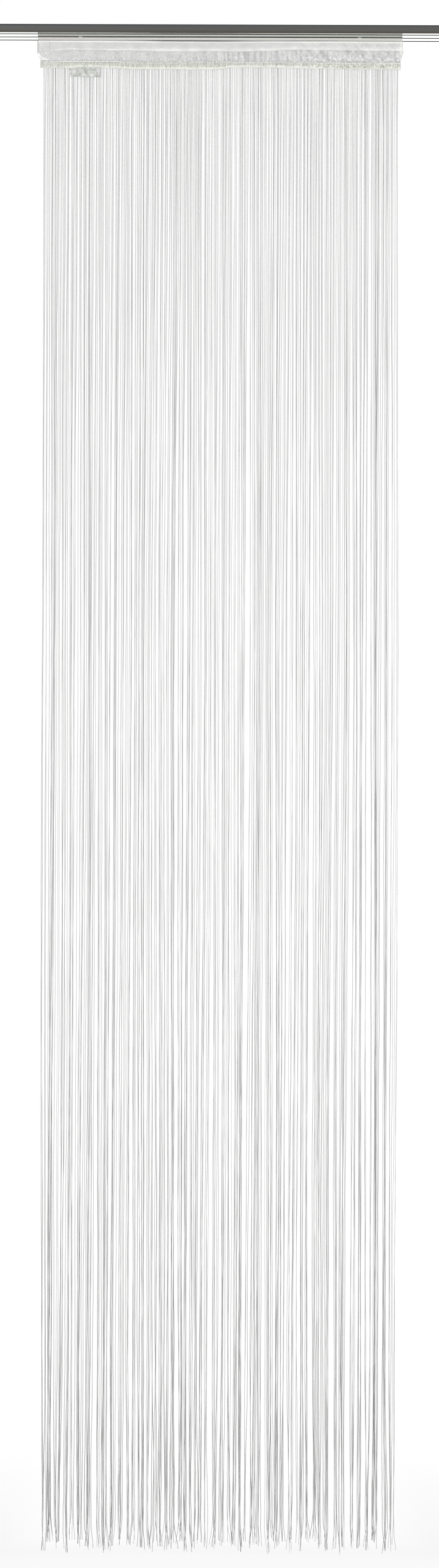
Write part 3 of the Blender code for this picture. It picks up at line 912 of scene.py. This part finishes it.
def tape_folds(x, z):
    """How far the cloth stands in front of its flat place, and its tone from 0, dark, to 1."""
    across = (x - tape_low.x) / (tape_high.x - tape_low.x)
    below_top = z - FREE_TOP
    below_ridge = along(TAPE_RIDGE, x) - z
    free = ease(*FREE_BELOW_RIDGE, below_ridge)
    held_at_seam = SEAM_HOLD * ease(SEAM_TOP, SEAM_TOP - SEAM_FADE, z)
    loose = ease(FREE_TOP, FREE_FULL, z) * (1 - held_at_seam)
    gathered_up = between(GATHERS_LEFT, 1.0, ease(*GATHERS_START, x))
    crumpled = ease(*CRUMPLES_START, x)

    # pleats and gathers lean a little; folds slant one way on the way down and cross the other
    leaning = x + (LEAN_SPREAD * rough(x, 0, *LEAN_GRAINS) + LEAN) * below_top
    pleats = between(PLEAT_LEFT, PLEAT_RIGHT, across) * crumple(leaning)
    creases = bump(rough(leaning, z, *CREASE_GRAINS), 0.0, CREASE_WIDTH)
    gathers = 0.6 * rough(leaning, z, *GATHER_GRAINS) - creases
    slanting = x + between(*SLANTS, 0.5 + rough(x, 0, *SLANT_GRAINS)) * below_top
    crossing = x - CROSSING_SLANT * below_top
    folds = rough(slanting, z, *FOLD_GRAINS) + 0.5 * rough(slanting, z, *BROAD_FOLD_GRAINS)
    folds += 0.6 * rough(crossing, z, *CROSSING_GRAINS)
    glints = speck(slanting, z, GLINT_GRAINS, GLINT_RARITY) * bump(z, GLINT_HEIGHT, GLINT_REACH)
    smudges = rough(x, z, *SMUDGE_GRAINS)
    mottle = rough(x, z, *MOTTLE_GRAINS) + 0.5 * rough(x, z, *FINE_MOTTLE_GRAINS)
    ridge_reach = between(RIDGE_REACH, RIDGE_WIDEST * RIDGE_REACH, ease(*RIDGE_WIDENS, x))
    ridge = bump(below_ridge, 0.0, RIDGE_REACH_BELOW if below_ridge > 0 else ridge_reach)
    ridge_shown = ease(*RIDGE_START, across)
    shadow_below, shadow_reach, shadow_shade = RIDGE_SHADOW
    shadow = shadow_shade * bump(below_ridge, shadow_below, shadow_reach)

    forward = pleats + GATHER_DEPTH * gathered_up * gathers + FOLD_DEPTH * crumpled * folds
    forward = loose * forward + SMUDGE_DEPTH * smudges
    forward += between(*MOTTLE_DEPTHS, free) * mottle + RIDGE_RISE * ridge
    # painted shading of the gathers and folds: darker where they lie back and in the creases,
    # lighter where they stand forward
    gathers_painted_shading = GATHER_PAINTED_SHADING * gathered_up * between(1.0, 0.6, crumpled) * (gathers + 0.25)
    tone = TAPE_TONE - FREE_SHADE * free + SMUDGE_TONE * smudges
    tone += between(*MOTTLE_TONES, free) * mottle + seam_specks(x, z)
    tone += HELD_FOLD_PAINTED_SHADING * crumpled * (1 - free) * folds
    tone += free * (gathers_painted_shading + FREE_FOLD_PAINTED_SHADING * crumpled * folds)
    tone += GLINT_TONE * between(0.35, 1.0, crumpled) * gathered_up * glints
    # painted highlight along the ridge, and painted shadow under it
    tone += (RIDGE_PAINTED_HIGHLIGHT * ridge * (1 + 0.5 * smudges) - shadow) * ridge_shown

    hem_bottom = tape_high.z - HEM_HEIGHT
    left_end, right_start = tape_low.x + LEFT_HEM, tape_high.x - RIGHT_HEM
    top_hem = ease(hem_bottom - HEM_FADE[0], hem_bottom + HEM_FADE[1], z)
    left_hem = 1 - ease(left_end, left_end + SIDE_HEM_FADE, x)
    right_hem = ease(right_start - SIDE_HEM_FADE, right_start, x)
    hem_line = bump(x, left_end + HEM_LINE_OFFSET, HEM_LINE_REACH) * (1 - free)
    turned = bump(distance_to_line(x, z, TURNED_CORNER), 0.0, TURN_HALF_WIDTH)
    forward += HEM_RISE * (top_hem + left_hem + right_hem) + TURN_RISE * turned
    # the top hem's share is a painted highlight
    tone += HEM_TONE * top_hem + left_hem * (LEFT_HEM_TONE[0] + LEFT_HEM_TONE[1] * mottle)
    # the turned corner's share is a painted highlight
    tone += RIGHT_HEM_TONE * right_hem + TURN_PAINTED_HIGHLIGHT * turned - HEM_LINE_SHADE * hem_line
    return forward, min(max(tone, 0.0), 1.0)


def tape_surface(across, down):
    z = between(TAPE_EDGES[0][0], TAPE_EDGES[-1][0], down)
    x = between(tape_edge(z, 1), tape_edge(z, 2), across)
    forward = max(tape_folds(x, z)[0], CARRIER_STOP if z > carrier_low.z else FOLD_STOP)
    sag = along(TAPE_TOP, x) * (1 - ease(0.0, TAPE_TOP_REACH, down))
    return x, TAPE_FACE - forward, z - sag


def build_tape():
    tape = cloth("heading_tape_cloth", TAPE_COLUMNS, TAPE_DOWN, tape_surface, TAPE_THICKNESS)
    set_tone(tape, [tape_folds(vertex.co.x, vertex.co.z)[1] for vertex in tape.data.vertices])
    tape.data.materials.append(sheer_tape())
    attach(tape, "root")
    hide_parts("heading_tape")
    return tape


# Woven band, its edges and the label

def rib_pitch():
    return 2 * ROOT_HALF_WIDTH / (STRAND_COUNT - 1)


def band_bottom(x):
    return fringe_high.z - BAND_HEIGHT - along(BAND_EDGE, x)


def band_surface(across, down):
    """Ribs and small puckers; the upper edge leans back onto the tape."""
    x = between(fringe_low.x, fringe_high.x, across)
    top = fringe_high.z + UPPER_EDGE_ROUGHNESS * rough(x, 0, *UPPER_EDGE_GRAINS)
    z = between(top, band_bottom(x), down)
    lean = BAND_LEAN * (1 - ease(0.0, BAND_LEAN_REACH, down))
    uneven = 1 + 0.5 * rough(x, z, *RIB_GRAINS)
    rib = RIB_RISE * abs(wave(x, 2 * rib_pitch(), fringe_low.x)) * uneven
    pucker = PUCKER_RISE * rough(x, z, *PUCKER_GRAINS)
    return x, BAND_FACE + lean - rib - pucker * math.sin(math.pi * down), z


def band_tone(x, z):
    """Dark specks between the ribs, fuller and brighter along the lower edge."""
    ribs = rough(x, 0, *FINE_RIB_GRAINS) + 0.6 * rough(x, 0, *BROAD_RIB_GRAINS)
    specks = rough(x, z, *SPECK_GRAINS) + 0.4 * rough(x, z, *BROAD_SPECK_GRAINS)
    fuzz = rough(x, z, *FUZZ_GRAINS)
    fullness = rough(x, 0, *BROAD_FULLNESS_GRAINS) + 0.6 * rough(x, 0, *FINE_FULLNESS_GRAINS)
    bright_reach = between(*FULL_REACHES, ease(*FULLNESS_RANGE, fullness))
    bright = bump(z, band_bottom(x) + FULL_LIFT, bright_reach) * along(BAND_FULLNESS, x)
    # painted highlight: a bright line near the right end, for the light on a rolled edge
    rolled = bump(z, ROLL_HEIGHT, ROLL_REACH) * ease(ROLL_START, ROLL_START + ROLL_FADE, x)
    crumpled = ease(*CRUMPLES_START, x)
    glints = speck(x, z, BAND_GLINT_GRAINS, BAND_GLINT_RARITY) * crumpled
    tone = BAND_TONE + RIB_TONE * ribs + FUZZ_TONE * fuzz + seam_specks(x, z)
    tone -= between(*SPECK_SHADES, crumpled) * ease(*SPECK_RANGE, specks)
    # painted light on the band's upper edge, against the shade that falls there
    tone += UPPER_EDGE_PAINTED_LIGHT * ease(*(fringe_high.z - drop for drop in UPPER_EDGE_LIGHT_FADE), z)
    tone -= LEFT_END_SHADE * bump(x, fringe_low.x, LEFT_END_REACH)
    tone += FULL_TONE * bright + ROLL_PAINTED_HIGHLIGHT * rolled + BAND_GLINT_TONE * glints
    return min(max(tone, 0.0), 1.0)


def build_band():
    ribs = round((fringe_high.x - fringe_low.x) / rib_pitch())
    band = cloth("woven_band", ribs * BAND_STEPS_PER_RIB, BAND_DOWN, band_surface, BAND_THICKNESS)
    set_tone(band, [band_tone(vertex.co.x, vertex.co.z) for vertex in band.data.vertices])
    band.data.materials.append(woven_band())
    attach(band, "root")
    return band


def along_band(inset, step):
    """Places along the band, evenly spaced, that keep an inset from both ends."""
    length = fringe_high.x - fringe_low.x - 2 * inset
    steps = int(length / step)
    return [fringe_low.x + inset + length * i / steps for i in range(steps + 1)]


def build_selvedge():
    """Plies twisted round each other along the band's lower edge."""
    paths = []
    swing_back, swing_up = PLY_SWING
    for ply in range(SELVEDGE_PLIES):
        path = []
        for x in along_band(SELVEDGE_INSET, SELVEDGE_STEP):
            turn = 2 * math.pi * (x / SELVEDGE_TWIST + ply / SELVEDGE_PLIES)
            y = BAND_FACE - SELVEDGE_FORWARD - swing_back * math.cos(turn)
            z = band_bottom(x) + SELVEDGE_LIFT + swing_up * math.sin(turn)
            path.append((x, y, z, 1.0 + 0.5 * rough(x, 0, *SELVEDGE_GRAINS)))
        paths.append(path)
    cord = thread("band_selvedge", paths, SELVEDGE_RADIUS)
    finished = thread_finish("selvedge_thread", *SELVEDGE_WHITE, (90.0, 90.0, 700.0))
    cord.data.materials.append(finished)
    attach(cord, "root")
    return cord


def build_stitches():
    """The zigzag that sews the band to the tape."""
    path = []
    for step, x in enumerate(along_band(STITCH_INSET, STITCH_STEP)):
        full = along(STITCH_FULLNESS, x)
        girth = STITCH_GIRTH[0] + STITCH_GIRTH[1] * full
        girth *= 1 + 0.5 * rough(x, 0, *STITCH_GRAINS)
        y = BAND_FACE - STITCH_FORWARD[0] - STITCH_FORWARD[1] * full
        z = fringe_high.z - along(STITCH_DROP, x)
        z += STITCH_SWING if step % 2 else -STITCH_SWING
        path.append((x, y, z, girth))
    stitches = thread("band_stitches", [path], STITCH_RADIUS)
    stitches.data.materials.append(thread_finish("stitch_thread", *STITCH_WHITE))
    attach(stitches, "root")
    return stitches


def label_surface(across, down):
    x = between(label_low.x, label_high.x, across)
    ripple = LABEL_WAVE_DEPTH * down * math.sin(2 * math.pi * LABEL_WAVES * across)
    ripple += LABEL_ROUGHNESS * rough(x, down, *LABEL_GRAINS)
    ripple -= LABEL_LEAN * (1 - ease(0.0, LABEL_LEAN_REACH, down))
    bottom = label_low.z + LABEL_SLANT * (1 - across) ** 3
    return x, LABEL_FACE - ripple, between(band_bottom(x) + LABEL_TUCK, bottom, down)


def build_label():
    label = cloth("label_ribbon", LABEL_COLUMNS, LABEL_DOWN, label_surface, LABEL_THICKNESS)
    label.data.materials.append(label_ribbon())
    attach(label, "root")
    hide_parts("care_label")
    return label


# Yarns

def gathered(places, sizes, pitch, wander, chance):
    """Where neighbours drawn together in groups go, and the number of each one's group."""
    drawn = []
    groups = []
    while len(drawn) < len(places):
        size = min(chance.choice(sizes), len(places) - len(drawn))
        members = places[len(drawn):len(drawn) + size]
        middle = sum(members) / size + chance.uniform(-wander, wander)
        drawn += [middle + (i - (size - 1) / 2) * pitch for i in range(size)]
        groups += [len(groups)] * size
    return drawn, groups


def keep_apart(places, gap):
    """Neighbours in one row pushed away from each other until each pair is a gap apart."""
    for _ in range(APART_PASSES):
        for i in range(len(places) - 1):
            lack = gap - (places[i + 1] - places[i])
            if lack > 0:
                places[i] -= lack / 2
                places[i + 1] += lack / 2
    for i in range(len(places) - 1):
        places[i + 1] = max(places[i + 1], places[i] + gap)
    return places


def strand_rows(chance):
    """The row, front to back, of each strand: every three neighbours hang in three rows."""
    rows = []
    while len(rows) < STRAND_COUNT:
        trio = list(range(ROW_COUNT))
        chance.shuffle(trio)
        rows += trio
    return rows[:STRAND_COUNT]


def strand_routes():
    """Each strand's row, and each strand's points from the root to the tip."""
    chance = random.Random(SEED)
    pitch = rib_pitch()
    roots = [i * pitch - ROOT_HALF_WIDTH + chance.uniform(-ROOT_JITTER, ROOT_JITTER)
             for i in range(STRAND_COUNT)]
    rows = strand_rows(chance)
    wisps, _ = gathered(roots, WISP_SIZES, WISP_PITCH, WISP_WANDER, chance)
    spread = [x * TIP_SPREAD for x in roots]
    locks, lock_of = gathered(spread, LOCK_SIZES, LOCK_PITCH, LOCK_WANDER, chance)
    lock_tips = [TIP_HEIGHT + chance.uniform(-LOCK_TIP_SPREAD, LOCK_TIP_SPREAD)
                 for _ in range(max(lock_of) + 1)]
    tips = [lock_tips[lock] + chance.uniform(-TIP_JITTER, TIP_JITTER) for lock in lock_of]
    routes = [[] for _ in range(STRAND_COUNT)]
    for drop, to_wisp, to_lock, stray, depth in LEVELS:
        places = [
            root * (1 - to_wisp - to_lock) + wisp * to_wisp + lock * to_lock
            + chance.uniform(-stray, stray)
            for root, wisp, lock in zip(roots, wisps, locks)
        ]
        for row in range(ROW_COUNT):
            members = [i for i in range(STRAND_COUNT) if rows[i] == row]
            spaced = keep_apart([places[i] for i in members], SAME_ROW_GAP)
            y = BAND_FACE + (row - (ROW_COUNT - 1) / 2) * ROW_SPACING * depth
            for i, x in zip(members, spaced):
                top = band_bottom(ROOT_CENTRE + roots[i]) + ROOT_OVERLAP
                routes[i].append((ROOT_CENTRE + x, y, between(top, tips[i], drop)))
    return rows, routes


def yarn_path(route, chance):
    """A yarn's points: its strand's route, rounded at the levels, with the yarn's own crinkles."""
    thickness = chance.uniform(*YARN_THICKNESSES)
    curl = chance.uniform(-1, 1) * TIP_CURL
    waves = []
    for reach, length in CRINKLES:
        reach *= chance.uniform(*CRINKLE_REACHES)
        length *= chance.uniform(*CRINKLE_LENGTHS)
        waves.append((reach, length, chance.random(), chance.random()))
    top, tip = route[0][2], route[-1][2]
    path = []
    for step in range(YARN_STEPS + 1):
        drop = (step / YARN_STEPS) ** YARN_CROWDING
        level = max(i for i in range(len(LEVELS) - 1) if LEVELS[i][0] <= drop)
        share = (drop - LEVELS[level][0]) / (LEVELS[level + 1][0] - LEVELS[level][0])
        if level == len(LEVELS) - 2:
            share **= TIP_SPLAY
        x, y, _ = (between(a, b, ease(0, 1, share)) for a, b in zip(route[level], route[level + 1]))
        z = between(top, tip, drop)
        pull = sum(rough(x, z, *grains) for grains in DRAWN_GRAINS)
        x += DRAWN_TOGETHER * ease(*DRAWN_OVER, drop) * pull
        tip_gain = CRINKLE_TIP_GAIN * ease(CRINKLE_TIP_START, 1.0, drop)
        loose = CRINKLE_AT_ROOT + CRINKLE_GAIN * drop + tip_gain
        loose *= ease(0.0, CRINKLE_ROOT_END, drop)
        for reach, length, phase, turn in waves:
            angle = 2 * math.pi * (z / length + phase)
            x += loose * reach * math.sin(angle)
            y += loose * CRINKLE_DEPTH * reach * math.sin(angle + 2 * math.pi * turn)
        x += curl * ease(TIP_CURL_START, 1.0, drop) ** TIP_CURL_POWER
        lumps = 1 + YARN_LUMPS * rough(x, z, *YARN_LUMP_GRAINS, turn)
        path.append((x, y, z, along(YARN_GIRTHS, drop) * thickness * lumps))
    return path


def build_yarns():
    """The yarns, one piece for each row from front to back."""
    rows, routes = strand_routes()
    chance = random.Random(SEED + 1)
    paths = [yarn_path(route, chance) for route in routes]
    tones = [min(max(chance.gauss(*YARN_TONES), 0.0), 1.0) for _ in routes]
    yarn = white_yarn()
    made = []
    for row, place in enumerate(("front", "middle", "back")):
        members = [i for i in range(STRAND_COUNT) if rows[i] == row]
        piece = thread("strings_" + place, [paths[i] for i in members], YARN_RADIUS)
        per_yarn = len(piece.data.vertices) // len(members)
        set_tone(piece, [tones[i] for i in members for _ in range(per_yarn)])
        piece.data.materials.append(yarn)
        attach(piece, "root")
        made.append(piece)
    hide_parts("string_fringe")
    return made


# Studio

def build_camera(scene):
    data = bpy.data.cameras.new("camera")
    data.lens = CAMERA_LENS
    camera = bpy.data.objects.new("camera", data)
    camera.location = CAMERA_PLACE
    camera.rotation_euler = (math.pi / 2, CAMERA_ROLL, 0.0)
    scene.collection.objects.link(camera)
    scene.camera = camera


def build_sky(scene):
    """White all round, with its own strength for the eye, for gloss and for cloth."""
    world = bpy.data.worlds.new("studio_white")
    world.use_nodes = True
    scene.world = world
    ray = node(world, "ShaderNodeLightPath").outputs
    seen = range_of(world, ray["Is Glossy Ray"], SKY_TO_EYE, SKY_TO_GLOSS)
    strength = range_of(world, ray["Is Diffuse Ray"], seen, SKY_TO_CLOTH)
    background = world.node_tree.nodes["Background"]
    plug(world, background.inputs["Color"], WHITE)
    plug(world, background.inputs["Strength"], strength)


def build_suns(scene):
    for name, source, strength, softness in SUNS:
        data = bpy.data.lights.new(name, "SUN")
        data.energy = strength
        data.angle = math.radians(softness)
        sun = bpy.data.objects.new(name, data)
        sun.rotation_euler = Vector(source).to_track_quat("Z", "Y").to_euler()
        scene.collection.objects.link(sun)


def build_floor():
    """A pale floor that carries its own light and throws none on the curtain."""
    bpy.ops.mesh.primitive_plane_add(size=FLOOR_SIZE, location=(0.0, 0.0, cad_low.z - FLOOR_GAP))
    floor = active("floor")
    pale = finish("pale_floor", Roughness=0.9, Specular_IOR_Level=0.0)
    feed(pale, "Base Color", FLOOR_GREY)
    feed(pale, "Emission Color", WHITE)
    place = stretched(pale, "Object", FLOOR_STRETCH)
    away = node(pale, "ShaderNodeVectorMath", {0: place}, operation="LENGTH").outputs["Value"]
    aside = arithmetic(pale, "ABSOLUTE", axis(pale, "X"))
    behind = range_of(pale, aside, 1.0, 0.0, *STRINGS_FADE)
    behind = times(pale, behind, profile(pale, away, STRINGS_GLOW))
    feed(pale, "Emission Strength", added(pale, behind, profile(pale, away, FLOOR_GLOW)))
    floor.data.materials.append(pale)
    floor.visible_diffuse = False
    floor.visible_glossy = False


def build_studio():
    scene = bpy.context.scene
    scene.view_settings.view_transform = "Standard"
    build_camera(scene)
    build_sky(scene)
    build_suns(scene)
    build_floor()


def dress_hardware():
    """New finishes for the nodes that stay as they are."""
    plastic = glider_plastic()
    finishes = {"rail": anodised_aluminium(), "carrier": satin_aluminium()}
    finishes |= {"glider_left": plastic, "glider_right": plastic}
    for name, made in finishes.items():
        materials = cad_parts[name].data.materials
        materials.clear()
        materials.append(made)


build_studio()
dress_hardware()
tape = build_tape()
band = build_band()
selvedge = build_selvedge()
stitches = build_stitches()
label = build_label()
yarns = build_yarns()
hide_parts("string_fringe")
